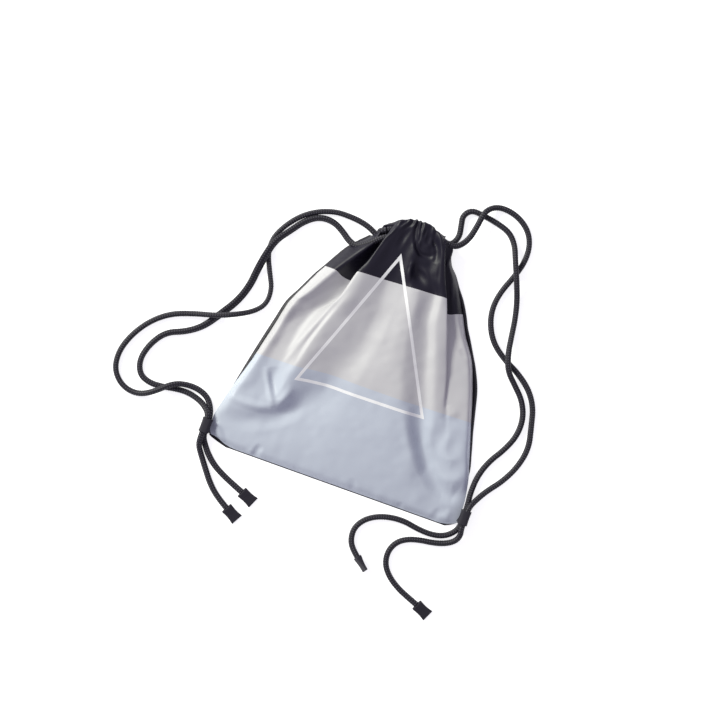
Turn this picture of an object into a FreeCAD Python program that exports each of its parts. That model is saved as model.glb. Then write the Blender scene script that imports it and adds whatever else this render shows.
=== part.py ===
"""Drawstring bag lying flat on its back: two cloth panels, a drawn-in mouth with two cord channels,
two long cords that run back through a loop at each bottom corner, and a cloth tab on every cord end.

Millimetres. +Z is up from the surface that the bag lies on, +Y points from the bottom seam to the
mouth, and the origin is under the middle of the bag. The cloth is drawn thicker than it is."""

import FreeCAD, Part
import math
import os
import Sketcher

Vector = FreeCAD.Vector
Rotation = FreeCAD.Rotation
Placement = FreeCAD.Placement

UP = Vector(0, 0, 1)
START, END, CENTRE = 1, 2, 3  # a sketch element's points
ORIGIN_AXIS_X = -1  # the sketch's own horizontal axis

doc = FreeCAD.newDocument("drawstring_bag")
sheet = doc.addObject("Spreadsheet::Sheet", "Sizes")

SIZES = {
    # cloth
    "cloth_thick": 2.0,
    "layer_gap": 0.3,
    "seam_width": 5.0,
    "seam_thick": 3.0,
    "bottom_seam_width": 3.0,
    "trim_tall": 45.0,
    # plan outline of both panels
    "bottom_y": -171.0,
    "bottom_left_x": -140.0,
    "bottom_right_x": 152.0,
    "corner_left_x": -163.0,
    "corner_left_y": -158.0,
    "corner_right_x": 165.0,
    "corner_right_y": -160.0,
    "shoulder_left_x": -86.0,
    "shoulder_left_y": 102.0,
    "shoulder_right_x": 50.0,
    "shoulder_right_y": 134.0,
    "side_left_radius": 850.0,
    "side_right_radius": 540.0,
    "neck_left_x": -34.0,
    "neck_left_y": 133.0,
    "neck_right_x": 28.0,
    "neck_right_y": 143.5,
    "neck_radius": 89.0,
    # cord channels round the mouth
    "channel_radius": 101.6,
    "channel_centre_x": 10.0,
    "channel_centre_y": 56.5,
    "channel_from_deg": 78.6,
    "channel_sweep_deg": 39.6,
    "channel_width": 24.0,
    "channel_tall": 10.5,
    "channel_wall": 1.5,
    "back_channel_z": 5.25,
    "front_channel_z": 21.0,
    # cords
    "cord_diameter": 6.5,
    "cord_offset": 4.3,
    "cord_end_gap": 0.5,
    # corner loops
    "loop_left_x": -170.0,
    "loop_right_x": 172.0,
    "loop_top_y": -146.0,
    "loop_long": 18.0,
    "loop_width": 11.0,
    "loop_tall": 16.3,
    "loop_wall": 1.0,
    "tongue_reach": 11.5,
    "tongue_long": 10.0,
    "tongue_thick": 1.5,
    # stitches on the loops' tongues
    "stitch_long": 3.6,
    "stitch_width": 0.7,
    "stitch_thick": 0.4,
    "stitch_step": 1.5,
    # cloth tabs on the cord ends
    "tab_long": 20.0,
    "tab_near_width": 15.0,
    "tab_near_thick": 8.4,
    "tab_far_width": 16.5,
    "tab_far_thick": 3.0,
    # joint positions
    "swing_y": -168.0,
}

# The front panel's arch across the bag at seven places: y, left foot, right foot and rise.
ARCHES = (
    ("hem", -165.2, -142.0, 152.0, 5.5),
    ("low", -145.0, -153.0, 156.0, 11.0),
    ("lap", -90.0, -143.7, 147.5, 21.0),
    ("waist", -25.0, -127.8, 130.0, 28.0),
    ("chest", 40.0, -105.7, 102.7, 30.5),
    ("neck", 95.0, -82.2, 71.1, 30.0),
    ("brim", 146.0, -58.0, 34.0, 27.0),
)


def fill_sheet():
    """Writes every driving dimension to the sheet, one row each, under its own alias."""
    rows = dict(SIZES)
    for name, y, left, right, rise in ARCHES:
        rows[name + "_y"] = y
        rows[name + "_left"] = left
        rows[name + "_right"] = right
        rows[name + "_rise"] = rise
    for row, (alias, value) in enumerate(rows.items(), start=1):
        sheet.set(f"A{row}", alias)
        sheet.set(f"B{row}", str(value))
        sheet.setAlias(f"B{row}", alias)
    doc.recompute()


def size(alias):
    """The number in the sheet's cell of that alias."""
    return float(getattr(sheet, alias))


def new_body(label):
    body = doc.addObject("PartDesign::Body", label)
    body.Label = label
    return body


def new_sketch(body, role, name, offset=Vector(0, 0, 0)):
    """A sketch on one of the body's own origin planes, moved by offset in that plane's frame."""
    sketch = body.newObject("Sketcher::SketchObject", name)
    plane = next(item for item in body.Origin.OriginFeatures if item.Role == role)
    sketch.AttachmentSupport = [(plane, "")]
    sketch.MapMode = "FlatFace"
    sketch.AttachmentOffset = Placement(offset, Rotation())
    return sketch


def bind(sketch, name, expression, *constraint):
    """Adds a dimension to the sketch and ties it to the sheet."""
    index = sketch.addConstraint(Sketcher.Constraint(*constraint))
    sketch.renameConstraint(index, name)
    sketch.setExpression("Constraints." + name, expression)


def pin(sketch, name, element, point, x_expression, y_expression):
    """Holds a point of the sketch at a place given by two expressions."""
    place = sketch.getPoint(element, point)
    bind(sketch, name + "_x", x_expression, "DistanceX", -1, 1, element, point, place.x)
    bind(sketch, name + "_y", y_expression, "DistanceY", -1, 1, element, point, place.y)


def bulge_middle(start, end, radius):
    """The middle of an arc from start to end that turns left, and so stands out to the right."""
    chord = end - start
    outward = Vector(chord.y, -chord.x, 0).normalize()
    half = chord.Length / 2
    rise = radius - math.sqrt(radius * radius - half * half)
    return (start + end) / 2 + outward * rise


def arc_between(start, end, radius):
    return Part.Arc(start, bulge_middle(start, end, radius), end)


# Corners of the panels' outline, anticlockwise from the left end of the bottom edge. A corner with
# a radius starts an arc, and the others start a straight edge.
OUTLINE = (
    ("bottom_left", None),
    ("bottom_right", None),
    ("corner_right", "side_right_radius"),
    ("shoulder_right", None),
    ("neck_right", "neck_radius"),
    ("neck_left", None),
    ("shoulder_left", "side_left_radius"),
    ("corner_left", None),
)


def corner_aliases(name):
    x_alias = name + "_x"
    y_alias = "bottom_y" if name.startswith("bottom") else name + "_y"
    return x_alias, y_alias


def draw_outline(sketch):
    """The plan outline that both panels share."""
    corners = [Vector(*(size(alias) for alias in corner_aliases(name))) for name, _ in OUTLINE]
    for index, (name, radius) in enumerate(OUTLINE):
        start = corners[index]
        end = corners[(index + 1) % len(corners)]
        edge = arc_between(start, end, size(radius)) if radius else Part.LineSegment(start, end)
        sketch.addGeometry(edge, False)
    for index, (name, radius) in enumerate(OUTLINE):
        following = (index + 1) % len(OUTLINE)
        sketch.addConstraint(Sketcher.Constraint("Coincident", index, END, following, START))
        x_alias, y_alias = corner_aliases(name)
        pin(sketch, name, index, START, "Sizes." + x_alias, "Sizes." + y_alias)
        if radius:
            bind(sketch, name + "_bend", "Sizes." + radius, "Radius", index, size(radius))


def padded_outline(label, thickness):
    body = new_body(label)
    sketch = new_sketch(body, "XY_Plane", label + "_outline")
    draw_outline(sketch)
    pad = body.newObject("PartDesign::Pad", label + "_pad")
    pad.Profile = sketch
    pad.setExpression("Length", "Sizes." + thickness)
    return body


def draw_arch(sketch, name):
    """A thin arch that stands on two feet: the panel's section across the bag."""
    left = size(name + "_left")
    right = size(name + "_right")
    rise = size(name + "_rise")
    thick = size("cloth_thick")
    middle = (left + right) / 2
    crown = Vector(middle, rise, 0)
    inner_crown = Vector(middle, rise - thick, 0)
    inner_left = Vector(left + thick, 0, 0)
    inner_right = Vector(right - thick, 0, 0)
    sketch.addGeometry(Part.Arc(Vector(right, 0, 0), crown, Vector(left, 0, 0)), False)
    sketch.addGeometry(Part.LineSegment(Vector(left, 0, 0), inner_left), False)
    sketch.addGeometry(Part.Arc(inner_right, inner_crown, inner_left), False)
    sketch.addGeometry(Part.LineSegment(inner_right, Vector(right, 0, 0)), False)
    for first, first_point, second, second_point in (
        (0, END, 1, START),
        (1, END, 2, END),
        (2, START, 3, START),
        (3, END, 0, START),
    ):
        sketch.addConstraint(
            Sketcher.Constraint("Coincident", first, first_point, second, second_point)
        )
    feet = (
        ("right", 0, START, f"Sizes.{name}_right"),
        ("left", 0, END, f"Sizes.{name}_left"),
        ("inner_right", 2, START, f"Sizes.{name}_right - Sizes.cloth_thick"),
        ("inner_left", 2, END, f"Sizes.{name}_left + Sizes.cloth_thick"),
    )
    for foot, element, point, expression in feet:
        place = sketch.getPoint(element, point)
        bind(sketch, foot, expression, "DistanceX", -1, 1, element, point, place.x)
        sketch.addConstraint(Sketcher.Constraint("PointOnObject", element, point, ORIGIN_AXIS_X))
    for arc, inset in ((0, "0"), (2, "Sizes.cloth_thick")):
        half = f"((Sizes.{name}_right - Sizes.{name}_left) / 2 - {inset})"
        height = f"(Sizes.{name}_rise - {inset})"
        radius = f"({half} * {half} + {height} * {height}) / (2 * {height})"
        now = sketch.Geometry[arc].Radius
        bind(sketch, f"bend_{arc}", radius, "Radius", arc, now)


def make_front_panel():
    """The arched front panel: a loft over the arches, trimmed to the plan outline."""
    arch = new_body("front_arch")
    sections = []
    for name, y, *_ in ARCHES:
        height = size("cloth_thick") + size("layer_gap")
        sketch = new_sketch(arch, "XZ_Plane", name + "_arch", Vector(0, height, -y))
        draw_arch(sketch, name)
        sketch.setExpression(
            "AttachmentOffset.Base.y", "Sizes.cloth_thick + Sizes.layer_gap"
        )
        sketch.setExpression("AttachmentOffset.Base.z", f"-Sizes.{name}_y")
        sections.append(sketch)
    loft = arch.newObject("PartDesign::AdditiveLoft", "front_arch_loft")
    loft.Profile = sections[0]
    loft.Sections = sections[1:]
    trim = padded_outline("front_trim", "trim_tall")
    panel = doc.addObject("Part::Common", "front_panel")
    panel.Label = "front_panel"
    panel.Base = arch
    panel.Tool = trim
    return panel


def make_side_seam(label, side, low, high, radius):
    """The seam allowance along one side: a strip on the back panel's edge."""
    body = new_body(label)
    sketch = new_sketch(body, "XY_Plane", label + "_strip", Vector(0, 0, size("cloth_thick")))
    sketch.setExpression("AttachmentOffset.Base.z", "Sizes.cloth_thick")
    low_corner = Vector(*(size(alias) for alias in corner_aliases(low)))
    high_corner = Vector(*(size(alias) for alias in corner_aliases(high)))
    start, end = (high_corner, low_corner) if side < 0 else (low_corner, high_corner)
    width = size("seam_width")
    inward = Vector(-side * width, 0, 0)
    outer = arc_between(start, end, size(radius))
    inner = arc_between(start + inward, end + inward, size(radius) - width)
    sketch.addGeometry(outer, False)
    sketch.addGeometry(inner, False)
    sketch.addGeometry(Part.LineSegment(start, start + inward), False)
    sketch.addGeometry(Part.LineSegment(end, end + inward), False)
    for first, first_point, second, second_point in (
        (2, START, 0, START),
        (2, END, 1, START),
        (3, START, 0, END),
        (3, END, 1, END),
        (0, CENTRE, 1, CENTRE),
    ):
        sketch.addConstraint(
            Sketcher.Constraint("Coincident", first, first_point, second, second_point)
        )
    sketch.addConstraint(Sketcher.Constraint("Horizontal", 2))
    sketch.addConstraint(Sketcher.Constraint("Horizontal", 3))
    first_name, last_name = (high, low) if side < 0 else (low, high)
    for name, point in ((first_name, START), (last_name, END)):
        x_alias, y_alias = corner_aliases(name)
        pin(sketch, name, 0, point, "Sizes." + x_alias, "Sizes." + y_alias)
    bind(sketch, "outer_bend", "Sizes." + radius, "Radius", 0, size(radius))
    bind(
        sketch,
        "inner_bend",
        f"Sizes.{radius} - Sizes.seam_width",
        "Radius",
        1,
        size(radius) - width,
    )
    pad = body.newObject("PartDesign::Pad", label + "_pad")
    pad.Profile = sketch
    pad.setExpression("Length", "Sizes.seam_thick")
    return body


def make_bottom_seam():
    seam = doc.addObject("Part::Box", "bottom_seam")
    seam.Label = "bottom_seam"
    seam.setExpression("Length", "Sizes.bottom_right_x - Sizes.bottom_left_x")
    seam.setExpression("Width", "Sizes.bottom_seam_width")
    seam.setExpression("Height", "Sizes.seam_thick")
    seam.setExpression("Placement.Base.x", "Sizes.bottom_left_x")
    seam.setExpression("Placement.Base.y", "Sizes.bottom_y")
    seam.setExpression("Placement.Base.z", "Sizes.cloth_thick")
    return seam


def draw_slot(sketch, width, height, centre_x, centre_z, upright=False):
    """A flat oval of that width and height; returns nothing, and is bound by the caller's sizes."""
    long_side, short_side = (height, width) if upright else (width, height)
    radius = short_side / 2
    reach = long_side / 2 - radius
    along = Vector(0, 1, 0) if upright else Vector(1, 0, 0)
    across = Vector(-1, 0, 0) if upright else Vector(0, 1, 0)
    centre = Vector(centre_x, centre_z, 0)
    far = centre + along * reach
    near = centre - along * reach
    first = sketch.GeometryCount
    sketch.addGeometry(
        Part.Arc(far - across * radius, far + along * radius, far + across * radius), False
    )
    sketch.addGeometry(Part.LineSegment(far + across * radius, near + across * radius), False)
    sketch.addGeometry(
        Part.Arc(near + across * radius, near - along * radius, near - across * radius), False
    )
    sketch.addGeometry(Part.LineSegment(near - across * radius, far - across * radius), False)
    for index in range(4):
        following = first + (index + 1) % 4
        sketch.addConstraint(
            Sketcher.Constraint("Tangent", first + index, END, following, START)
        )
    return first


def bind_slot(sketch, first, tag, radius, reach, centre_x, centre_z, upright=False):
    """Ties a flat oval's end radius, length and middle to expressions."""
    far_x, far_z = (centre_x, f"{centre_z} + {reach}")
    near_x, near_z = (centre_x, f"{centre_z} - {reach}")
    if not upright:
        far_x, far_z = (f"{centre_x} + {reach}", centre_z)
        near_x, near_z = (f"{centre_x} - {reach}", centre_z)
    pin(sketch, tag + "_far", first, CENTRE, far_x, far_z)
    near = sketch.getPoint(first + 2, CENTRE)
    if upright:
        bind(sketch, tag + "_near", near_z, "DistanceY", -1, 1, first + 2, CENTRE, near.y)
    else:
        bind(sketch, tag + "_near", near_x, "DistanceX", -1, 1, first + 2, CENTRE, near.x)
    bind(sketch, tag + "_radius", radius, "Radius", first, sketch.Geometry[first].Radius)


def channel_placement(height, angle):
    """At the middle of the circle that the mouth's channels follow, turned to that angle."""
    centre = Vector(size("channel_centre_x"), size("channel_centre_y"), height)
    return Placement(centre, Rotation(UP, angle))


def make_channel(label, height_alias):
    """A hollow flat tube of cloth round the mouth: a flat oval ring turned about the mouth's axis."""
    body = new_body(label)
    sketch = new_sketch(body, "XZ_Plane", label + "_section")
    width, tall = size("channel_width"), size("channel_tall")
    wall, radius = size("channel_wall"), size("channel_radius")
    outer = draw_slot(sketch, width, tall, radius, 0.001)
    inner = draw_slot(sketch, width - 2 * wall, tall - 2 * wall, radius, 0.001)
    reach = "(Sizes.channel_width - Sizes.channel_tall) / 2"
    bind_slot(sketch, outer, "outer", "Sizes.channel_tall / 2", reach, "Sizes.channel_radius", "0")
    bind_slot(
        sketch,
        inner,
        "inner",
        "Sizes.channel_tall / 2 - Sizes.channel_wall",
        reach,
        "Sizes.channel_radius",
        "0",
    )
    turn = body.newObject("PartDesign::Revolution", label + "_turn")
    turn.Profile = sketch
    turn.ReferenceAxis = (sketch, ["V_Axis"])
    turn.Midplane = True
    turn.setExpression("Angle", "Sizes.channel_sweep_deg")
    middle = size("channel_from_deg") + size("channel_sweep_deg") / 2
    body.Placement = channel_placement(size(height_alias), middle)
    return body


def make_channel_run(label, height_alias, side, gap_alias=None):
    """A cord's stretch inside one channel: part of a ring, on the outer (1) or inner (-1) side."""
    ring = doc.addObject("Part::Torus", label)
    ring.Label = label
    ring.setExpression("Radius1", f"Sizes.channel_radius + {side} * Sizes.cord_offset")
    ring.setExpression("Radius2", "Sizes.cord_diameter / 2")
    trim = 0.0
    sweep = "Sizes.channel_sweep_deg"
    if gap_alias:
        trim = math.degrees(size(gap_alias) / size("channel_radius"))
        sweep += f" - 2 * 180deg / pi * Sizes.{gap_alias} / Sizes.channel_radius / 1deg"
    ring.setExpression("Angle3", sweep)
    ring.Placement = channel_placement(size(height_alias), size("channel_from_deg") + trim)
    return ring


def channel_end(side, offset_side):
    """Where a cord leaves the channels, on the right (1) or left (-1), and the way it faces."""
    angle = size("channel_from_deg")
    if side < 0:
        angle += size("channel_sweep_deg")
    angle = math.radians(angle)
    reach = size("channel_radius") + offset_side * size("cord_offset")
    outward = Vector(math.cos(angle), math.sin(angle), 0)
    facing = Vector(math.sin(angle), -math.cos(angle), 0) * side
    centre = Vector(size("channel_centre_x"), size("channel_centre_y"), 0)
    return centre + outward * reach, facing


def make_return(label, side, offset_side):
    """A cord's half turn at the far gap, from the back channel up to the front one."""
    low, high = size("back_channel_z"), size("front_channel_z")
    ring = doc.addObject("Part::Torus", label)
    ring.Label = label
    ring.setExpression("Radius1", "(Sizes.front_channel_z - Sizes.back_channel_z) / 2")
    ring.setExpression("Radius2", "Sizes.cord_diameter / 2")
    ring.Angle3 = 180
    place, facing = channel_end(side, offset_side)
    down = -UP
    turned = Rotation(down, facing, down.cross(facing), "XYZ")
    ring.Placement = Placement(place + UP * (low + high) / 2, turned)
    return ring


def cord_path(points):
    """Straight runs joined by tangent arcs, each as large as its two runs allow."""
    share = 0.45
    edges = []
    radii = []
    last = points[0]
    for before, corner, after in zip(points, points[1:], points[2:]):
        arriving, leaving = corner - before, after - corner
        half_turn = arriving.getAngle(leaving) / 2
        setback = share * min(arriving.Length, leaving.Length)
        radii.append(setback / math.tan(half_turn))
        arriving.normalize()
        leaving.normalize()
        into = corner - arriving * setback
        out = corner + leaving * setback
        sideways = (leaving - arriving).normalize()
        depth = radii[-1] * (1 / math.cos(half_turn) - 1)
        edges.append(Part.LineSegment(last, into).toShape())
        edges.append(Part.Arc(into, corner + sideways * depth, out).toShape())
        last = out
    edges.append(Part.LineSegment(last, points[-1]).toShape())
    return Part.Wire(edges), radii


def make_cord(label, points, ball=False):
    """A plain round tube along the route, with a ball at its start where it turns on a loop."""
    path, radii = cord_path([Vector(*point) for point in points])
    radius = size("cord_diameter") / 2
    start = path.Edges[0]
    section = Part.Wire(
        Part.makeCircle(radius, start.valueAt(start.FirstParameter), start.tangentAt(0))
    )
    tube = path.makePipeShell([section], True, False)
    expected = math.pi * radius * radius * path.Length
    if abs(tube.Volume / expected - 1) > 0.01:
        raise RuntimeError(f"{label}: the tube's volume is {tube.Volume:.0f}, not {expected:.0f}")
    if ball:
        tube = tube.fuse(Part.makeSphere(radius, Vector(*points[0])))
    cord = doc.addObject("Part::Feature", label)
    cord.Label = label
    cord.Shape = tube
    cord.Placement = Placement()
    steps = [(Vector(*b) - Vector(*a)).Length for a, b in zip(points, points[1:])]
    print(f"{label}: {path.Length:.0f} mm, smallest radius {min(radii):.1f}, longest run {max(steps):.0f}")
    return cord


# Routes, x, y, z. Each strand runs from the mouth to the lower end of its corner loop, and each
# tail from its loop to its end tab. A strand that lies over another rises in a hump.
LOW = 3.3
OVER = 12.0


def strand_routes():
    left_place, left_facing = channel_end(-1, -1)
    right_place, right_facing = channel_end(1, 1)
    left_back = left_place + UP * size("back_channel_z")
    left_front = left_place + UP * size("front_channel_z")
    right_back = right_place + UP * size("back_channel_z")
    right_front = right_place + UP * size("front_channel_z")
    end_y = size("swing_y") + size("cord_diameter") / 2 + size("cord_end_gap")
    return {
        "left_strand_back": [
            left_back, left_back + left_facing * 6,
            (-50.5, 141, 4.2), (-61, 146.5, 3.6), (-74, 150, LOW), (-90, 151.3, LOW),
            (-107, 151, LOW), (-128, 144, LOW), (-147, 131, LOW), (-162, 112, LOW),
            (-171, 92, LOW), (-169, 72, LOW), (-159, 51, LOW), (-150, 33, LOW),
            (-150, 13, LOW), (-162, -1, 5), (-181, -12, OVER), (-204, -21.5, OVER),
            (-230, -28, 4.5), (-258, -38, LOW), (-280, -56, LOW), (-296, -80, LOW),
            (-304, -105, LOW), (-301, -128, LOW), (-285, -144, LOW), (-264, -147, 4.5),
            (-246, -138, OVER), (-226, -119, OVER), (-209, -114.5, 5), (-192, -115.5, LOW),
            (-178, -122.5, LOW), (-169.3, -138, 4.8), (-168.95, -151, 4.8), (-169, end_y, 4.8),
        ],
        "left_strand_front": [
            left_front, left_front + left_facing * 7,
            (-55, 126.5, 15.5), (-67, 118.6, 9.5), (-79, 121.5, 5), (-92, 131.3, LOW), (-106, 138.5, LOW),
            (-124, 138, LOW), (-140, 127, LOW), (-153, 109, 4.5), (-166, 91, OVER),
            (-171, 71, OVER), (-175, 50, 4.5), (-177, 29, LOW), (-185, 5, LOW),
            (-200, -18, LOW), (-214, -39, LOW), (-233, -53, LOW), (-256, -62, LOW),
            (-270, -82, LOW), (-276, -105, LOW), (-269, -123, LOW), (-254, -128.5, LOW),
            (-237, -127.5, LOW), (-221, -124.5, LOW), (-207, -123.5, LOW), (-194, -126, LOW),
            (-182.5, -130.5, 5.2), (-171.4, -139.5, 11.3), (-170.95, -151.5, 11.3),
            (-171, end_y, 11.3),
        ],
        "right_strand_back": [
            right_back, right_back + right_facing * 5,
            (43.5, 162, 4.4), (48.5, 173.5, 3.4), (46, 187, LOW), (43.5, 200, LOW),
            (52, 210, LOW), (68, 208.5, LOW), (86, 205.5, LOW), (105, 200, LOW),
            (117, 187, 4.5), (124, 168, OVER), (134, 145, OVER), (143, 123, 4.5),
            (148.5, 101, LOW), (151.5, 79, 4.5), (154, 58, OVER), (161, 36, OVER),
            (177, 21, 4.5), (191, 7, LOW), (200, -13, LOW), (200, -36, LOW),
            (191, -58, LOW), (178, -78, LOW), (170.5, -100, LOW), (169.2, -122, LOW),
            (170.9, -138, 4.8), (171.05, -151, 4.8), (171, end_y, 4.8),
        ],
        "right_strand_front": [
            right_front, right_front + right_facing * 6,
            (48.5, 158.5, 17), (60, 171.5, 13), (65, 193, OVER), (67.5, 214, OVER),
            (80, 224.5, 4.5), (97, 225, LOW), (114, 219, LOW), (128, 207.5, LOW),
            (135.5, 191, LOW), (136, 171, LOW), (130, 150, LOW), (121, 128, LOW),
            (117, 106, LOW), (121, 84, LOW), (133, 63, LOW), (153, 48, LOW),
            (174, 38, LOW), (194, 23, LOW), (207, 4, LOW), (213, -20, LOW),
            (219, -46, LOW), (214, -72, LOW), (202, -96, LOW), (188, -113.5, LOW),
            (179.5, -127.5, 5.6), (173.3, -139.5, 11.3), (172.95, -151.5, 11.3), (173, end_y, 11.3),
        ],
    }


def tail_routes():
    swing_y = size("swing_y")
    return {
        "left_tail_inner": [
            (-169, swing_y, 4.8), (-163, -178, 3.8), (-154.5, -188.5, LOW),
            (-143, -198.5, LOW), (-129, -206, LOW), (-114, -212.5, LOW), (-100, -218, 4.3),
        ],
        "left_tail_outer": [
            (-171, swing_y, 11.3), (-170.7, -180, 8.5), (-162.5, -192.5, 3.8),
            (-152.5, -206, LOW), (-141, -221, LOW), (-127, -234, LOW), (-111.3, -243.1, 4.3),
        ],
        "right_tail_inner": [
            (171, swing_y, 4.8), (165, -178, 3.6), (154.5, -185.5, LOW), (140, -188.5, LOW),
            (122, -187.5, LOW), (104, -184, LOW), (86, -185, LOW), (69, -190, LOW),
            (55, -199.5, LOW), (47, -213, LOW), (48, -228, LOW), (54.5, -238.5, 4.5),
            (63, -245.5, 6.3),
        ],
        "right_tail_outer": [
            (173, swing_y, 11.3), (175, -178, 8.6), (170.5, -187, 5.2), (160, -193.5, 3.6),
            (146, -197.5, LOW), (130, -199.5, LOW), (114, -204, LOW), (102, -213, LOW),
            (96.5, -227, LOW), (99, -243, LOW), (109.5, -256, LOW), (125, -266, LOW),
            (141, -272.5, LOW), (152.8, -277, 4.3),
        ],
    }


# End tabs: the cord's end, the way it points, and the tab's roll and pitch about that, in degrees.
TABS = {
    "left_tail_inner": (-24.0, 0.0, 6.5),
    "left_tail_outer": (-29.0, 0.0, 6.5),
    "right_tail_inner": (-40.0, 68.0, -7.0),
    "right_tail_outer": (-25.0, 0.0, 6.5),
}


def draw_block(sketch, width_alias, thick_alias):
    """A rectangle about the sketch's middle: width along its x, thickness along its y."""
    half_width, half_thick = size(width_alias) / 2, size(thick_alias) / 2
    corners = [
        Vector(-half_width, -half_thick, 0),
        Vector(half_width, -half_thick, 0),
        Vector(half_width, half_thick, 0),
        Vector(-half_width, half_thick, 0),
    ]
    for index, corner in enumerate(corners):
        sketch.addGeometry(Part.LineSegment(corner, corners[(index + 1) % 4]), False)
    for index in range(4):
        following = (index + 1) % 4
        sketch.addConstraint(Sketcher.Constraint("Coincident", index, END, following, START))
    for index, (x_sign, y_sign) in enumerate(((-1, -1), (1, -1), (1, 1), (-1, 1))):
        pin(
            sketch,
            f"corner_{index}",
            index,
            START,
            f"{x_sign} * Sizes.{width_alias} / 2",
            f"{y_sign} * Sizes.{thick_alias} / 2",
        )


def make_tab(tail, cord_end):
    """A cloth tab folded over a cord's end: it starts as thick as the cord and ends flat and wide."""
    heading, roll, pitch = TABS[tail]
    label = tail.replace("tail", "end_tab")
    body = new_body(label)
    near = new_sketch(body, "YZ_Plane", label + "_near")
    draw_block(near, "tab_near_width", "tab_near_thick")
    far = new_sketch(body, "YZ_Plane", label + "_far", Vector(0, 0, size("tab_long")))
    far.setExpression("AttachmentOffset.Base.z", "Sizes.tab_long")
    draw_block(far, "tab_far_width", "tab_far_thick")
    loft = body.newObject("PartDesign::AdditiveLoft", label + "_loft")
    loft.Profile = near
    loft.Sections = [far]
    turned = Rotation(UP, heading) * Rotation(Vector(0, 1, 0), pitch) * Rotation(Vector(1, 0, 0), roll)
    body.Placement = Placement(Vector(*cord_end), turned)
    return body


def make_loop(label, x_alias, side):
    """A strip of cloth folded round two cords, with its ends sewn to the bag as a tongue."""
    body = new_body(label)
    wall, long_side = size("loop_wall"), size("loop_long")
    width, tall = size("loop_width"), size("loop_tall")
    ring = new_sketch(body, "XZ_Plane", label + "_ring", Vector(0, 0, -size("loop_top_y")))
    ring.setExpression("AttachmentOffset.Base.z", "-Sizes.loop_top_y")
    outer = draw_slot(ring, width, tall, 0.001, tall / 2, upright=True)
    inner = draw_slot(ring, width - 2 * wall, tall - 2 * wall, 0.001, tall / 2, upright=True)
    reach = "(Sizes.loop_tall - Sizes.loop_width) / 2"
    middle = "Sizes.loop_tall / 2"
    bind_slot(ring, outer, "outer", "Sizes.loop_width / 2", reach, "0", middle, upright=True)
    bind_slot(
        ring, inner, "inner", "Sizes.loop_width / 2 - Sizes.loop_wall", reach, "0", middle, upright=True
    )
    ring_pad = body.newObject("PartDesign::Pad", label + "_ring_pad")
    ring_pad.Profile = ring
    ring_pad.setExpression("Length", "Sizes.loop_long")
    start = width / 2 - wall / 2
    reach_x = size("tongue_reach")
    floor = size("cloth_thick") + size("seam_thick")
    roof = floor + size("tongue_thick")
    tongue = new_sketch(body, "XZ_Plane", label + "_tongue", Vector(0, 0, 1 - size("loop_top_y")))
    tongue.setExpression("AttachmentOffset.Base.z", "1 - Sizes.loop_top_y")
    corners = [(start, floor), (reach_x, floor), (reach_x, roof), (start, roof)]
    corners = [Vector(side * x, z, 0) for x, z in corners]
    for index, corner in enumerate(corners):
        tongue.addGeometry(Part.LineSegment(corner, corners[(index + 1) % 4]), False)
    for index in range(4):
        following = (index + 1) % 4
        tongue.addConstraint(Sketcher.Constraint("Coincident", index, END, following, START))
    start_x = f"{side} * (Sizes.loop_width / 2 - Sizes.loop_wall / 2)"
    end_x = f"{side} * Sizes.tongue_reach"
    low_z = "Sizes.cloth_thick + Sizes.seam_thick"
    high_z = low_z + " + Sizes.tongue_thick"
    places = ((start_x, low_z), (end_x, low_z), (end_x, high_z), (start_x, high_z))
    for index, (x_expression, z_expression) in enumerate(places):
        pin(tongue, f"corner_{index}", index, START, x_expression, z_expression)
    tongue_pad = body.newObject("PartDesign::Pad", label + "_tongue_pad")
    tongue_pad.Profile = tongue
    tongue_pad.setExpression("Length", "Sizes.tongue_long")
    body.Placement = Placement(Vector(size(x_alias), 0, 0), Rotation())
    return body


def make_bar_tack(label, x_alias, side):
    """The short dense row of stitches that holds a loop's tongue to the side seam."""
    count = 6
    stitches = []
    top = size("cloth_thick") + size("seam_thick") + size("tongue_thick")
    for index in range(count):
        stitch = doc.addObject("Part::Box", f"{label}_{index}")
        stitch.setExpression("Length", "Sizes.stitch_long")
        stitch.setExpression("Width", "Sizes.stitch_width")
        stitch.setExpression("Height", "Sizes.stitch_thick")
        reach = size("tongue_reach") - size("stitch_long") / 2 - size("stitch_width")
        x = size(x_alias) + side * reach - size("stitch_long") / 2
        y = size("loop_top_y") - 1.5 - (index + 0.5) * size("stitch_step")
        stitch.Placement = Placement(Vector(x, y, top), Rotation())
        stitches.append(stitch)
    group = doc.addObject("Part::Compound", label)
    group.Label = label
    group.Links = stitches
    group.Placement = Placement()
    return group


def build():
    """Makes every sub-part and returns the ones that are written out."""
    fill_sheet()
    parts = [
        padded_outline("back_panel", "cloth_thick"),
        make_front_panel(),
        make_side_seam("left_side_seam", -1, "corner_left", "shoulder_left", "side_left_radius"),
        make_side_seam("right_side_seam", 1, "corner_right", "shoulder_right", "side_right_radius"),
        make_bottom_seam(),
        make_channel("front_channel", "front_channel_z"),
        make_channel("back_channel", "back_channel_z"),
    ]
    for cord, side in (("left_cord", -1), ("right_cord", 1)):
        parts.append(make_channel_run(cord + "_back_run", "back_channel_z", side))
        parts.append(make_channel_run(cord + "_front_run", "front_channel_z", side, "cord_end_gap"))
        parts.append(make_return(cord + "_return", -side, side))
    for label, route in strand_routes().items():
        parts.append(make_cord(label, route))
    for label, route in tail_routes().items():
        parts.append(make_cord(label, route, ball=True))
        parts.append(make_tab(label, route[-1]))
    for name, side in (("left", 1), ("right", -1)):
        parts.append(make_loop(f"{name}_corner_loop", f"loop_{name}_x", side))
        parts.append(make_bar_tack(f"{name}_bar_tack", f"loop_{name}_x", side))
    return parts


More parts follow.
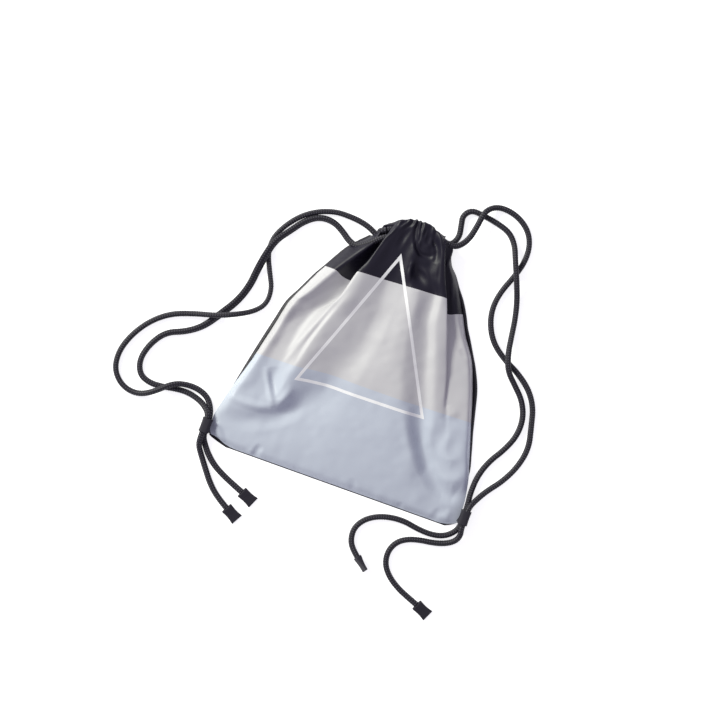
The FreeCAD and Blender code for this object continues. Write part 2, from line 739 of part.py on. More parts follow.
def export(parts):
    """Checks every object, then writes each sub-part to its own file."""
    doc.recompute()
    for item in doc.Objects:
        if "Invalid" in item.State or "Error" in item.State:
            raise RuntimeError(f"{item.Label} did not rebuild: {item.State}")
    for part in parts:
        if part.Shape.isNull() or not part.Shape.isValid() or part.Shape.Volume <= 0:
            raise RuntimeError(f"{part.Label} has no valid solid")
    os.makedirs("parts", exist_ok=True)
    for part in parts:
        part.Shape.exportStep(f"parts/{part.Label}.step")


export(build())
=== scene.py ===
"""Looks of the drawstring bag: cloth panels with printed colour blocks, braided cords, ribbon loops and
cloth end tabs. Lengths are in metres in Blender. The tables below are in millimetres unless they say
metres."""

import math

import bpy
import numpy as np
from mathutils import Matrix, Vector


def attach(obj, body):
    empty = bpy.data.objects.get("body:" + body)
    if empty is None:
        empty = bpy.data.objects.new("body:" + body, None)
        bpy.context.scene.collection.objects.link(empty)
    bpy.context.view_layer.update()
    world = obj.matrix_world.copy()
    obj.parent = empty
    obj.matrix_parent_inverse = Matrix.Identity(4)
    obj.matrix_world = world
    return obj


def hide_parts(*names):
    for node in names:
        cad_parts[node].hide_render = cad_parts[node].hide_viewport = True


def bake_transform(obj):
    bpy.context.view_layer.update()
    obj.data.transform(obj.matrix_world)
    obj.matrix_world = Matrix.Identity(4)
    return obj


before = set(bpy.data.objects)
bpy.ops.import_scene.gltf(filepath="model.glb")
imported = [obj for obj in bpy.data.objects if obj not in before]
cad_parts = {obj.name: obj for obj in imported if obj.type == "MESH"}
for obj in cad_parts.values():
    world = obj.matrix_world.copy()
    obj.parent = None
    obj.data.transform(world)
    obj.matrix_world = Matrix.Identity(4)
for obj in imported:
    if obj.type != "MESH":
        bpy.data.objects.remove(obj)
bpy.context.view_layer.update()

MM = 0.001


def mm(points):
    return np.array(points, float) * MM


# ---------------------------------------------------------------- materials


def linear(r, g, b):
    """An sRGB colour, 0 to 255, as linear values."""
    out = []
    for c in (r, g, b):
        c /= 255
        out.append(c / 12.92 if c <= 0.04045 else ((c + 0.055) / 1.055) ** 2.4)
    return (*out, 1.0)


class Nodes:
    """Short ways to add and join shader nodes."""

    def __init__(self, name):
        self.material = bpy.data.materials.new(name)
        self.material.use_nodes = True
        self.tree = self.material.node_tree
        self.shader = self.tree.nodes["Principled BSDF"]

    def add(self, kind, **settings):
        node = self.tree.nodes.new("ShaderNode" + kind)
        for key, value in settings.items():
            setattr(node, key, value)
        return node

    def feed(self, socket, value):
        if isinstance(value, bpy.types.NodeSocket):
            self.tree.links.new(value, socket)
        else:
            socket.default_value = value

    def math(self, operation, a, b=0.0, c=0.0):
        node = self.add("Math", operation=operation)
        for socket, value in zip(node.inputs, (a, b, c)):
            self.feed(socket, value)
        return node.outputs[0]

    def mix(self, factor, a, b):
        node = self.add("Mix", data_type="RGBA")
        self.feed(node.inputs["Factor"], factor)
        self.feed(node.inputs["A"], a)
        self.feed(node.inputs["B"], b)
        return node.outputs["Result"]

    def attribute(self, name):
        return self.add("Attribute", attribute_name=name)

    def bump(self, height, strength, distance):
        node = self.add("Bump")
        node.inputs["Strength"].default_value = strength
        node.inputs["Distance"].default_value = distance
        self.feed(node.inputs["Height"], height)
        self.feed(self.shader.inputs["Normal"], node.outputs["Normal"])

    def finish(self, colour, roughness, sheen=0.0, specular=0.5):
        self.feed(self.shader.inputs["Base Color"], colour)
        self.shader.inputs["Roughness"].default_value = roughness
        self.shader.inputs["Sheen Weight"].default_value = sheen
        self.shader.inputs["Sheen Roughness"].default_value = 0.5
        self.shader.inputs["Specular IOR Level"].default_value = specular
        return self.material


DARK = linear(25, 22, 38)
GREY = linear(206, 205, 208)
BLUE = linear(199, 206, 219)
WHITE = linear(252, 252, 253)
BACK = linear(40, 38, 46)
CORD = linear(96, 94, 106)
RIBBON = linear(47, 45, 54)

# The print, by place on the flat cloth. A block's edge is the height at the middle and the slope.
DARK_FROM, DARK_SLOPE = 92.0, 0.05
BLUE_UP_TO, BLUE_SLOPE = -44.5, 0.03
TRIANGLE = ((-12.4, 123.7), (80.5, -54.2), (-82.6, -62.1))
TRIANGLE_LINE = 3.7  # the outline's width


def weave(nodes, vector, pitch):
    """A plain weave's tiny bumps: two waves across each other."""
    parts = nodes.add("SeparateXYZ")
    nodes.feed(parts.inputs[0], vector)
    k = 2 * math.pi / pitch
    across = nodes.math("SINE", nodes.math("MULTIPLY", parts.outputs[0], k))
    along = nodes.math("SINE", nodes.math("MULTIPLY", parts.outputs[1], k))
    return nodes.math("MULTIPLY", across, along)


def front_material():
    """Printed polyester: dark, grey and blue blocks and a white triangle outline."""
    nodes = Nodes("front_cloth")
    rest = nodes.attribute("rest").outputs["Vector"]
    parts = nodes.add("SeparateXYZ")
    nodes.feed(parts.inputs[0], rest)
    u, v = parts.outputs[0], parts.outputs[1]
    upper = nodes.math("SUBTRACT", v, nodes.math("MULTIPLY", u, DARK_SLOPE))
    lower = nodes.math("SUBTRACT", v, nodes.math("MULTIPLY", u, BLUE_SLOPE))
    in_dark = nodes.math("GREATER_THAN", upper, DARK_FROM)
    in_blue = nodes.math("LESS_THAN", lower, BLUE_UP_TO)
    colour = nodes.mix(in_blue, GREY, BLUE)
    colour = nodes.mix(in_dark, colour, DARK)
    reach = None
    for (x0, y0), (x1, y1) in zip(TRIANGLE, TRIANGLE[1:] + TRIANGLE[:1]):
        length = math.hypot(x1 - x0, y1 - y0)
        nx, ny = -(y1 - y0) / length, (x1 - x0) / length
        off_line = nodes.math("MULTIPLY_ADD", v, ny, -(nx * x0 + ny * y0))
        side = nodes.math("ADD", nodes.math("MULTIPLY", u, nx), off_line)
        reach = side if reach is None else nodes.math("MAXIMUM", reach, side)
    on_line = nodes.math("LESS_THAN", nodes.math("ABSOLUTE", reach), TRIANGLE_LINE / 2)
    colour = nodes.mix(on_line, colour, WHITE)
    nodes.bump(weave(nodes, rest, 0.9), 0.08, 0.0002)
    return nodes.finish(colour, 0.46, sheen=0.0, specular=0.4)


def cloth_material(name, colour, roughness, pitch=0.9):
    """Plain cloth in one colour, with a weave of that pitch in millimetres."""
    nodes = Nodes(name)
    rest = nodes.attribute("rest").outputs["Vector"]
    nodes.bump(weave(nodes, rest, pitch), 0.12, 0.0002)
    return nodes.finish(colour, roughness, specular=0.35)


# ---------------------------------------------------------------- meshes


def mesh_object(name, points, faces, material):
    mesh = bpy.data.meshes.new(name)
    mesh.from_pydata([tuple(p) for p in points], [], faces)
    mesh.materials.append(material)
    mesh.shade_smooth()
    mesh.update()
    item = bpy.data.objects.new(name, mesh)
    bpy.context.scene.collection.objects.link(item)
    return item


def grid_faces(rows, columns, closed=False):
    """Quads over a grid of points stored row by row. A closed grid joins its last column to its first."""
    index = np.arange(rows * columns).reshape(rows, columns)
    right = np.roll(index, -1, axis=1) if closed else index[:, 1:]
    left = index if closed else index[:, :-1]
    quads = np.stack([left[:-1], right[:-1], right[1:], left[1:]], -1)
    return quads.reshape(-1, 4).tolist()


def close_ends(faces, rows, around):
    """Adds a face over each end of a closed grid."""
    faces.append(list(range(around))[::-1])
    faces.append(list(range((rows - 1) * around, rows * around)))


def squarish(wave, power):
    """A sine or cosine with its shoulders pushed out, so that a circle turns into a rounded box."""
    return np.sign(wave) * np.abs(wave) ** power


def store(item, name, values):
    """Keeps a vector for each vertex, such as its place on the flat cloth."""
    attribute = item.data.attributes.new(name, "FLOAT_VECTOR", "POINT")
    values = np.asarray(values, np.float32)
    if values.shape[1] == 2:
        values = np.hstack([values, np.zeros((len(values), 1), np.float32)])
    attribute.data.foreach_set("vector", values.ravel())


def smooth_between(knots, values, at):
    """Monotone cubic interpolation down the first axis: no overshoot between the knots."""
    knots = np.asarray(knots, float)
    values = np.asarray(values, float)
    step = np.diff(knots)
    slope = np.diff(values, axis=0) / step.reshape(-1, *[1] * (values.ndim - 1))
    tangent = np.zeros_like(values)
    tangent[0], tangent[-1] = slope[0], slope[-1]
    before, after = slope[:-1], slope[1:]
    same = before * after > 0
    wide = step.reshape(-1, *[1] * (values.ndim - 1))
    w1 = 2 * wide[1:] + wide[:-1]
    w2 = wide[1:] + 2 * wide[:-1]
    with np.errstate(divide="ignore", invalid="ignore"):
        mean = (w1 + w2) / (w1 / before + w2 / after)
    tangent[1:-1] = np.where(same, mean, 0)
    at = np.clip(at, knots[0], knots[-1])
    i = np.clip(np.searchsorted(knots, at, side="right") - 1, 0, len(step) - 1)
    h = step[i].reshape(-1, *[1] * (values.ndim - 1))
    t = ((at - knots[i]) / step[i]).reshape(-1, *[1] * (values.ndim - 1))
    return (
        values[i] * (1 + 2 * t) * (1 - t) ** 2
        + tangent[i] * h * t * (1 - t) ** 2
        + values[i + 1] * t * t * (3 - 2 * t)
        + tangent[i + 1] * h * t * t * (t - 1)
    )


# ---------------------------------------------------------------- the mouth

# The arc that the back hem and the cords inside both hems follow, and how far each cord lies from it.
MOUTH_CENTRE = np.array([10.0, 56.5])
MOUTH_RADIUS = 101.6
MOUTH_FROM, MOUTH_SWEEP = 78.6, 39.6  # degrees
CORD_OFFSET = 4.3
RUN_INSET = 0.6  # degrees, from a hem's end to the end of a cord's run in it


def on_mouth(radius, angle, height):
    """The place on the mouth's arc at that radius, angle and height."""
    x = MOUTH_CENTRE[0] + radius * np.cos(angle)
    y = MOUTH_CENTRE[1] + radius * np.sin(angle)
    return np.stack([x, y, height + 0 * angle], -1)


# ---------------------------------------------------------------- front cloth

# Rows across the front cloth, from the bottom seam up to the mouth. Each has the row's line on the flat
# cloth (height at the middle, and slope), then 18 places across: x, how far the place lies above or
# below the line, and height. The places are features that run up the bag:
#   0 left seam, 1 flap crest, 2 flap hollow, 3 under the left fold, 4 inside it, 5 left fold edge,
#   6 left ridge, 7 its slope, 8 left valley, 9 middle, 10 its right edge, 11 right valley,
#   12 right ridge, 13 right fold edge, 14 inside the fold, 15 under it, 16 right flap, 17 right seam
ROWS = (
    (-171.0, 0.0,
     (-162.5, -151, -141, -130, -122, -114, -104, -86, -62, -5, 72, 104, 118, 128, 135, 143, 154, 165),
     (8.5, 6.4, 2.4, 0.3, 0, 0, 0, 0, 0, 0, 0, 0, 0, 0, 0, 0, 1.6, 6.0),
     (3.0, 2.8, 2.6, 2.6, 2.6, 2.6, 2.6, 2.6, 2.6, 2.6, 2.6, 2.6, 2.6, 2.6, 2.6, 2.6, 2.8, 3.0)),
    (-163.0, 0.0,
     (-165.3, -154, -142, -131, -123, -115, -105, -87, -63, -5, 74, 105, 119, 128, 135, 143, 154, 166.6),
     (4, 2, 0.4, 0, 0, 0, 0, 0, 0, 0, 0, 0, 0, 0, 0, 0, 0.5, 2.5),
     (3.5, 5, 6.4, 6.8, 7, 7, 7.2, 7.4, 7.6, 8.2, 7.6, 7, 6.6, 6.4, 6.4, 6.4, 5.6, 3.5)),
    (-142.0, 0.0,
     (-165.3, -154, -142, -132, -124, -116, -106, -88, -66, -5, 80, 108, 120, 128, 134, 140, 150, 166.4),
     (0,) * 18,
     (4, 7, 7.6, 7.8, 8, 8.2, 8.6, 9.2, 9.8, 10.6, 10.2, 8.4, 7, 6.4, 6.4, 7, 7.6, 4)),
    (-114.0, 0.01,
     (-160.3, -151, -139, -127, -119, -111, -101, -84, -64, -10, 84, 108, 117, 123, 129, 138, 157, 162.2),
     (0,) * 18,
     (4, 11, 12.6, 13.0, 12.8, 12.4, 11.4, 9.0, 9.0, 12.2, 13.6, 8.6, 9.4, 10.6, 11.8, 12.8, 12.0, 4.2)),
    (-80.0, 0.02,
     (-151.5, -143, -128, -115, -108, -103, -95, -66, -46, -8, 66, 90, 102, 110, 116, 125, 147, 152),
     (0, 0, 0, 0, 0, 0, 0, 2, 3, 1.5, 0, 0, 0, 0, 0, 0, 0, 0),
     (4, 13.5, 13.0, 12.6, 13.6, 15.2, 17.4, 10.8, 8.2, 13.2, 17.6, 9.2, 12.6, 14.2, 15.0, 15.8, 14.6, 4.2)),
    (-44.5, 0.03,
     (-142, -134, -122, -111, -104, -98, -88, -66, -38, -8, 48, 78, 92, 103, 107, 113, 136, 140.8),
     (0, 0, 0, 0, 0, 0, 0, 2, 3, 1.5, 0, 0, 0, 0, 0, 0, 0, 0),
     (4, 14.5, 12.0, 12.6, 14.4, 16.8, 20.6, 15.2, 10.8, 15.8, 20.4, 11.6, 16.8, 15, 12.8, 13.4, 14.0, 4.2)),
    (0.0, 0.035,
     (-131.5, -124, -114, -104, -96, -89, -78, -52, -24, 2, 34, 64, 78, 93.5, 88, 99, 121.5, 126.6),
     (0, 0, 0, 0, 0, 0, 0, 0, 0, 0, 0, 0, 0, 0, 0, 0, 0, 0),
     (4, 15.5, 11.2, 10.2, 13.2, 16.6, 21.6, 17.2, 12.2, 18, 22.2, 13.8, 20.6, 17.2, 14.6, 13.8, 13.6, 4.2)),
    (30.0, 0.04,
     (-126, -118, -105, -92, -85, -80, -68, -44, -19, 3, 28, 56, 67.5, 83.5, 75, 88, 109.5, 115),
     (-3, -3, -3, -2, -1, 0, 0, 0, 0, 0, 0, 0, 0, 0, -1, -2, -2, -1),
     (4, 18, 11.4, 7.6, 10.6, 15.0, 22.8, 18.8, 14.6, 20.2, 24.2, 16.2, 23.2, 19.6, 16.0, 14.2, 14, 4.2)),
    (60.0, 0.045,
     (-114.5, -101, -86, -72, -62, -67, -55, -36, -15, 4, 25, 46, 58, 73, 64, 78, 92, 97),
     (-6, -6, -7, -8, -6, -1, 0, 0, 0, 0, 0, 0, 0, 0, -4, -7, -6, -4),
     (4, 20, 10.4, 3.4, 11, 22.5, 27.2, 22.4, 17.8, 21.4, 25.6, 18.4, 25.4, 24, 16, 12, 14, 4.2)),
    (91.5, 0.05,
     (-98, -83, -73, -61, -50, -58.5, -50, -33, -15, 3, 22, 43, 53, 60.5, 50, 66, 78, 85.5),
     (-4.5, -6, -11, -13, -8, -0.5, 0, 0, 0, 0, 0, 0, 0, 0, -8, -18.5, -15, -12.5),
     (4, 21, 8.5, 3.2, 11, 25, 28.4, 24, 19.8, 22.6, 26.4, 20.4, 26.6, 24.5, 16, 11.5, 14.5, 4.2)),
    (110.0, 0.05,
     (-86.5, -69, -60, -52, -41, -49.5, -43, -28, -12, 3, 15, 32, 43, 52.5, 42, 57, 67, 74),
     (-3.5, -4.5, -9, -11, -5, -1, 0, 0, 0, 0, 0, 0, 0, 0, -6, -13, -11, -9.5),
     (4, 21.5, 9, 3.6, 12, 26, 28.5, 24.5, 23, 26.5, 21.5, 23.5, 28, 25.5, 19, 15, 15.5, 4.2)),
    (130.0, 0.03,
     (-74, -57, -50.5, -45, -36, -43, -37, -25, -11, 1, 12, 24, 36, 45, 36, 48, 57, 62),
     (-8, -9, -12, -12, -6, -1, 0, 0, 0, 0, 0, 0, 0, 0, -5, -11, -10, -8),
     (4.3, 22.5, 11, 5.5, 14, 27, 29.5, 26.5, 25.5, 28, 25, 24.5, 28.6, 26.5, 21, 16.5, 16.5, 4.3)),
    (148.0, 0.0,
     (-60, -48, -43, -39.5, -32, -37.5, -32, -22, -10, 0, 9, 21, 32, 39, 33, 42, 47, 51.5),
     (-15, -14, -14, -12, -5, -1, 1, 2, 2, 1, 1, 1, 1, -1, -5, -9, -10, -11),
     (4.5, 22, 12, 12, 19, 28, 30.5, 28.5, 27.5, 28.5, 26.5, 26.5, 29.5, 28, 20, 16, 17, 4.5)),
    (163.0, 0.0,
     (-50, -47, -44, -40, -35, -31, -25, -16, -9, -1, 8, 17, 27, 34.5, 38.5, 43, 46.5, 47),
     (-20, -14.5, -9, -5, -2, 1, 4.5, 8.5, 10.5, 10.5, 11, 7, 3, -0.5, -2.5, -6, -11, -16.5),
     (12, 19, 20, 21, 23, 26, 28, 29, 29, 29, 29, 28, 27.5, 26, 23, 21, 17, 12)),
    (167.0, 0.0,
     (-50.5, -47.7, -44.8, -40.7, -35.5, -31.3, -25.3, -16.2, -9, -1, 8.2, 17.4, 27.5, 35.1, 39.2,
      43.8, 47.2, 47.6),
     (-23.5, -17.8, -12.2, -8.2, -5.2, -2.2, 1.3, 5.4, 7.4, 7.5, 8, 4, 0, -3.6, -5.7, -9.3, -14.4, -20),
     (10.5, 15, 16, 17, 18.5, 21, 22.5, 23, 23, 23, 23, 22.5, 22, 21, 19, 17, 14, 10.5)),
    (176.0, 0.0,
     (-49, -45.5, -42.3, -38.4, -33.6, -29.6, -24, -15.5, -8.8, -1, 7.6, 16.2, 25.8, 32.6, 35.6,
      38.6, 41.4, 43.6),
     (-33.5, -28.5, -23, -19.5, -16.5, -13.5, -10, -6, -4, -4, -3.5, -7.5, -11.5, -15, -17, -20.5, -25, -30),
     (9.5, 13, 13.6, 14.2, 15, 16, 16.8, 17, 17, 17, 17, 16.8, 16.4, 16, 15, 14.2, 12, 9.5)),
)

# Creases pressed into or raised from the front cloth: the line that each follows, its half width, how
# high it stands, and how sharp it is (1 is round, and more is sharper).
CREASES = (
    # lower left star
    (((-124, -60), (-111, -84), (-98, -106)), 4.5, 2.4, 2),
    (((-97, -106), (-90, -94), (-84, -70)), 5, 1.8, 1.5),
    (((-97, -106), (-120, -111), (-142, -111), (-158, -108)), 5, 1.7, 1.5),
    (((-117, -58), (-108, -78), (-99, -96)), 7, -2.4, 1),
    (((-160, -134), (-132, -131), (-104, -122), (-84, -108), (-66, -86), (-50, -60)), 9, -2.4, 1),
    (((-152, -96), (-138, -78), (-132, -58)), 7, 0.8, 1),
    # thin pulls that run down the left of the grey block
    (((-64, 60), (-80, 18), (-96, -24), (-104, -52)), 2.6, 1.1, 1),
    (((-72, 46), (-88, 8), (-104, -34)), 2.2, 0.9, 1),
    (((-58, 66), (-72, 30), (-86, -14), (-93, -50)), 2.4, -1.0, 1),
    (((-122, 24), (-108, 34), (-92, 52), (-84, 72)), 5, -1.6, 1),
    (((-128, 22), (-114, 36), (-104, 40)), 3, 1.2, 1),
    (((-134, -20), (-122, -2), (-108, 20)), 6, -1.2, 1),
    # right pocket and dome
    (((104, -30), (112, -38), (118, -30)), 5, 0.9, 1),
    (((110, -52), (108, -76), (116, -96), (134, -106), (148, -92)), 7, -2.0, 1),
    (((134, -64), (128, -78), (131, -92)), 7, -1.2, 1),
    (((104, -46), (118, -56), (132, -52)), 5, 0.6, 1),
    (((96, 42), (104, 36), (111, 35)), 3, -1.0, 1),
    (((66, -44), (82, -76), (97, -99), (111, -114), (128, -128), (146, -134), (160, -118), (166, -98)),
     8, -3.6, 1),
    # bottom edge puckers
    (((-160, -146), (-153, -157), (-142, -168)), 4, 1.5, 1),
    (((-100, -171), (-99, -162), (-96, -154)), 3.5, -1.2, 1),
    (((-108, -171), (-106, -163)), 3, 0.6, 1),
    (((30, -171), (28, -162), (22, -156)), 3.5, -0.6, 1),
    (((94, -171), (90, -163)), 3, -0.6, 1),
    (((136, -171), (138, -162), (144, -154)), 4, -0.9, 1),
    (((152, -170), (151, -160), (155, -150)), 3.5, 0.5, 1),
    # folds at the gathers
    (((-7, 174), (-5, 160), (-1, 148), (5, 139), (12, 135), (20, 136), (27, 142)), 2.4, -2.4, 1.2),
    (((4, 174), (5, 162), (8, 152), (14, 146), (22, 142)), 2.6, 1.4, 1),
    (((6, 168), (6, 160), (7, 153)), 1.6, -1.6, 1),
    (((10, 160), (18, 158), (25, 151), (29, 142), (31, 130)), 3.0, -2.4, 1.2),
    (((16, 168), (26, 163), (34, 152), (37, 138), (36, 124), (30, 114)), 3.4, 0.7, 1),
    (((-2, 146), (2, 136), (8, 130), (16, 128), (26, 128)), 2.6, 0.6, 1),
    (((22, 168), (32, 152), (37, 134), (43, 112), (48, 98)), 1.8, 1.0, 1),
    (((28, 158), (35, 138), (40, 118), (45, 100)), 1.4, -0.8, 1),
    (((36, 150), (41, 132), (47, 112), (53, 98)), 1.5, 0.8, 1),
    (((6, 123), (14, 119), (24, 116), (33, 108)), 2.6, 0.7, 1.2),
    (((4, 126), (5, 112), (8, 98)), 2.0, 1.1, 1),
    (((6, 122), (13, 113), (20, 104), (25, 92)), 6, -2.4, 1),
    (((-22, 170), (-29, 156), (-38, 138), (-44, 118), (-48, 98)), 1.8, 0.9, 1),
    (((-30, 166), (-34, 152), (-40, 140)), 1.6, -1.0, 1),
    (((-12, 172), (-16, 150), (-20, 130)), 3.0, -1.2, 1),
    (((-90, 90), (-76, 112), (-58, 130), (-46, 140)), 2.2, 0.9, 1),
    (((-94, 86), (-82, 106), (-66, 124)), 1.6, -0.7, 1),
    (((60, 118), (66, 106), (72, 92)), 2.0, -0.8, 1),
    (((52, 128), (60, 112), (70, 86)), 1.8, 0.7, 1),
)

CREASE_DEPTH = 1.35  # multiplies the height of every crease
EDGE_SHARE = 0.03  # creases and ruffles fade out over this share of the width at each side
HEM_FROM, HEM_FADE = 138, 22  # where the ruffles start on the flat cloth, and how far up they are full
FRONT_LOWEST = 2.6  # no point of the front cloth is set lower than this


def row_table():
    """The rows as arrays: x, y, z and the place on the flat cloth."""
    levels, places = [], []
    for level, slope, xs, rises, heights in ROWS:
        xs, rises, heights = np.array(xs, float), np.array(rises, float), np.array(heights, float)
        ys = level + slope * xs + rises
        hidden_left = max(0.0, xs[4] - xs[5])
        hidden_right = max(0.0, xs[13] - xs[14])
        us = xs.copy()
        us[4] = xs[5] - hidden_left
        us[3] = us[4] - max(1.0, hidden_left)
        us[0:3] -= 2 * hidden_left
        us[14] = xs[13] + hidden_right
        us[15] = us[14] + max(1.0, abs(xs[15] - xs[14]))
        us[16:] += 2 * hidden_right
        us = np.maximum.accumulate(us + np.arange(18) * 1e-3)
        levels.append(level)
        places.append(np.stack([xs, ys, heights, us, level + slope * us], -1))
    return np.array(levels), np.array(places)


def distance_to_line(points, line):
    """The distance from each point to a polyline, and how far along it the nearest place is, 0 to 1."""
    best = np.full(len(points), np.inf)
    share = np.zeros(len(points))
    line = np.array(line, float)
    lengths = np.hypot(*np.diff(line, axis=0).T)
    run = np.concatenate([[0], np.cumsum(lengths)])
    for i, (a, b) in enumerate(zip(line, line[1:])):
        d = b - a
        t = np.clip(((points - a) @ d) / (d @ d), 0, 1)
        gap = np.hypot(*(points - a - t[:, None] * d).T)
        closer = gap < best
        best[closer] = gap[closer]
        share[closer] = (run[i] + t[closer] * lengths[i]) / run[-1]
    return best, share


def rounded_line(line):
    """The polyline with its corners rounded, by smooth interpolation along its length."""
    line = np.array(line, float)
    run = np.concatenate([[0], np.cumsum(np.hypot(*np.diff(line, axis=0).T))])
    count = max(4, int(run[-1] / 3))
    return smooth_between(run, line, np.linspace(0, run[-1], count))


def value_noise(points, cell, seed):
    """Smooth noise between -1 and 1 over a plane, the same each time."""
    rng = np.random.default_rng(seed)
    table = rng.uniform(-1, 1, (64, 64))
    q = points / cell
    i = np.floor(q).astype(int)
    f = q - i
    f = f * f * (3 - 2 * f)
    i %= 64
    j = (i + 1) % 64
    return (
        table[i[:, 0], i[:, 1]] * (1 - f[:, 0]) * (1 - f[:, 1])
        + table[j[:, 0], i[:, 1]] * f[:, 0] * (1 - f[:, 1])
        + table[i[:, 0], j[:, 1]] * (1 - f[:, 0]) * f[:, 1]
        + table[j[:, 0], j[:, 1]] * f[:, 0] * f[:, 1]
    )


def front_surface(spacing=1.25):
    """The front cloth's grid: points in millimetres, places on the flat cloth, and the grid's size."""
    levels, places = row_table()
    across_step = np.maximum(np.hypot(*np.diff(places[..., :2].mean(0), axis=0).T), 4.0)
    across = np.concatenate([[0], np.cumsum(across_step)])
    along_step = np.maximum(np.diff(levels), 6.0)
    along = np.concatenate([[0], np.cumsum(along_step)])
    columns = int(across[-1] / spacing)
    rows = int(along[-1] / spacing)
    dense = smooth_between(along, places, np.linspace(0, along[-1], rows))
    dense = np.swapaxes(dense, 0, 1)
    dense = smooth_between(across, dense, np.linspace(0, across[-1], columns))
    dense = np.swapaxes(dense, 0, 1)
    return dense, rows, columns


def blur(values, times):
    """Smooths a grid a little, and keeps its border."""
    for _ in range(times):
        inner = values[1:-1, 1:-1]
        around = values[:-2, 1:-1] + values[2:, 1:-1] + values[1:-1, :-2] + values[1:-1, 2:]
        values[1:-1, 1:-1] = 0.5 * inner + 0.125 * around
    return values


def make_front():
    """The front cloth, with its creases and the gathers at its hem."""
    dense, rows, columns = front_surface()
    xyz = blur(dense[..., :3].copy(), 10)
    rest = dense[..., 3:5]
    points = xyz.reshape(-1, 3)
    flat = rest.reshape(-1, 2)
    plan = points[:, :2]
    side = np.tile(np.linspace(0, 1, columns), rows)
    edge = np.clip(np.minimum(side, 1 - side) / EDGE_SHARE, 0, 1)
    lift = np.zeros(len(points))
    for line, half_width, height, sharpness in CREASES:
        gap, share = distance_to_line(plan, rounded_line(line))
        reach = np.clip(gap / (2 * half_width), 0, 1)
        profile = np.cos(reach * math.pi / 2) ** (2 * sharpness)
        fade = np.sin(np.clip(share, 0.01, 0.99) * math.pi) ** 0.8
        lift += CREASE_DEPTH * height * profile * fade
    lift += 0.5 * value_noise(plan, 22, 1) + 0.22 * value_noise(plan, 9, 2)
    # gathers at the hem: small ruffles that fade out down the cloth
    hem = np.clip((flat[:, 1] - HEM_FROM) / HEM_FADE, 0, 1)
    ruffle = np.sin(side * 2 * math.pi * 9 + 5.0 * value_noise(plan, 13, 3)) * (
        0.6 + 0.5 * value_noise(plan, 7, 4)
    )
    lift += hem * 1.3 * ruffle
    points[:, 2] += lift * edge
    points[:, 1] += hem * 0.9 * ruffle * edge
    points[:, 2] = np.maximum(points[:, 2], FRONT_LOWEST)
    item = mesh_object("front_cloth", points * MM, grid_faces(rows, columns), front_material())
    store(item, "rest", flat)
    return item


# ---------------------------------------------------------------- back cloth

# The bag's outer edge, for rows up the bag: y, then x at the left and at the right.
BACK_ROWS = (
    (-172.3, -138, 152), (-169, -150, 159), (-163.5, -163, 165.5), (-150, -162.5, 164.4),
    (-125, -159.5, 161.8), (-100, -156, 160), (-75, -151.2, 154), (-50, -146, 147),
    (-25, -140.5, 141), (0, -134.6, 134.5),
    (25, -128.6, 123.5), (45, -118.6, 112), (57, -112.8, 105), (70, -106.4, 97), (83, -98.6, 90.5),
    (100, -89, 80.5), (113, -81, 70.5), (127, -69, 60.5), (138, -58, 49),
)
BACK_LOWEST = 0.5  # the height of the back cloth where it lies flat


def make_back(material):
    """The back cloth: flat under the bag, and curled up at the sides to the seams."""
    table = np.array(BACK_ROWS, float)
    run = table[:, 0]
    ys = np.linspace(run[0], run[-1], 200)
    left = smooth_between(run, table[:, 1], ys)
    right = smooth_between(run, table[:, 2], ys)
    inset = (3.5, 1.4, 0.0, 0.6, 2.4)
    heights = (5.2, 4.6, 2.8, 1.0, BACK_LOWEST)
    columns = []
    curl = np.clip((ys + 175) / 75, 0.5, 1)
    for shift, height in zip(inset, heights):
        columns.append(np.stack([left + shift, ys, height * curl], -1))
    for share in np.linspace(0.03, 0.97, 60):
        columns.append(np.stack([left + (right - left) * share, ys, np.full_like(ys, BACK_LOWEST)], -1))
    for shift, height in list(zip(inset, heights))[::-1]:
        columns.append(np.stack([right - shift, ys, height * curl], -1))
    grid = np.stack(columns, 1)
    shape = grid.shape[:2]
    points = grid.reshape(-1, 3)
    points[:, 2] += np.where(points[:, 2] > 0.9, 0.5 * value_noise(points[:, :2], 8, 5), 0)
    item = mesh_object("back_cloth", points * MM, grid_faces(*shape), material)
    store(item, "rest", points[:, :2])
    return item


GATHER_STEP = 5.2  # from one gather of the hem to the next, about


def make_channel(name, material, height, tall, width, seed):
    """A hem of the mouth: a flat tube of gathered cloth round the arc that its cords follow."""
    around, along = 40, 220
    start, sweep = math.radians(MOUTH_FROM), math.radians(MOUTH_SWEEP)
    angles = np.linspace(start, start + sweep, along)
    turn = np.linspace(0, 2 * math.pi, around, endpoint=False)
    a, t = np.meshgrid(angles, turn, indexing="ij")
    phase = a * MOUTH_RADIUS / GATHER_STEP * 2 * math.pi
    gather = 1 + 0.10 * np.sin(phase + 2 * np.sin(a * 23 + seed) + 0.6 * np.cos(t))
    out = squarish(np.cos(t), 0.75) * width / 2 * (1 + 0.3 * (gather - 1))
    up = np.sin(t) * tall / 2 * gather
    points = on_mouth(MOUTH_RADIUS + out, a, height + up)
    points[..., 2] = np.maximum(points[..., 2], BACK_LOWEST)
    points = points.reshape(-1, 3)
    item = mesh_object(name, points * MM, grid_faces(along, around, closed=True), material)
    store(item, "rest", np.stack([(a * MOUTH_RADIUS).ravel(), (t * 8).ravel()], -1))
    return item


# ---------------------------------------------------------------- cords

CORD_DIAMETER = 6.5
BRAID_PITCH = 1.55
BRAID_AROUND = 7
LOW, OVER = 3.3, 12.0  # the height of a cord's middle on the ground, and across another cord


